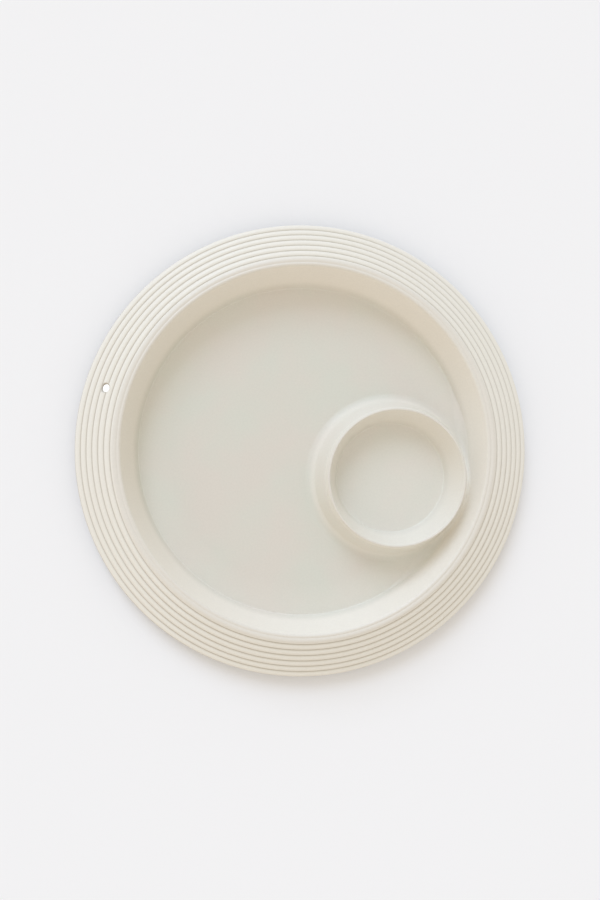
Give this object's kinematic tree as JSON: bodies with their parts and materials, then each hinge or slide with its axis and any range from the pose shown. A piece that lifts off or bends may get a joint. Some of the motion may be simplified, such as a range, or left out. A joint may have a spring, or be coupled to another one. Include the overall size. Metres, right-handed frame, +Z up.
{
  "type": "chip and dip platter",
  "caption": "Round serving platter with a flat floor, a leaning wall, a ribbed sloping rim and a raised round collar beside the wall, and a round dip bowl that drops into the collar and lifts out.",
  "frame": {"origin": "centre of the platter, on the surface that its foot ring stands on", "axes": "+Z up out of the platter; +X to the side where the dip bowl stands, with the bowl turned a little towards -Y; the hanging hole lies on the -X side"},
  "size_m": [0.3598, 0.3598, 0.0375],
  "materials": {
    "platter_glaze": "matte ivory glaze on cast stoneware",
    "bowl_glaze": "matte ivory glaze on cast stoneware"
  },
  "bodies": {
    "platter": {"platter": "platter_glaze"},
    "dip_bowl": {"dip_bowl": "bowl_glaze"}
  },
  "joints": [
    {"name": "dip_bowl_lift", "type": "slide", "parent": "platter", "child": "dip_bowl", "axis": [0, 0, 1], "range_m": [0, 0.06]}
  ]
}
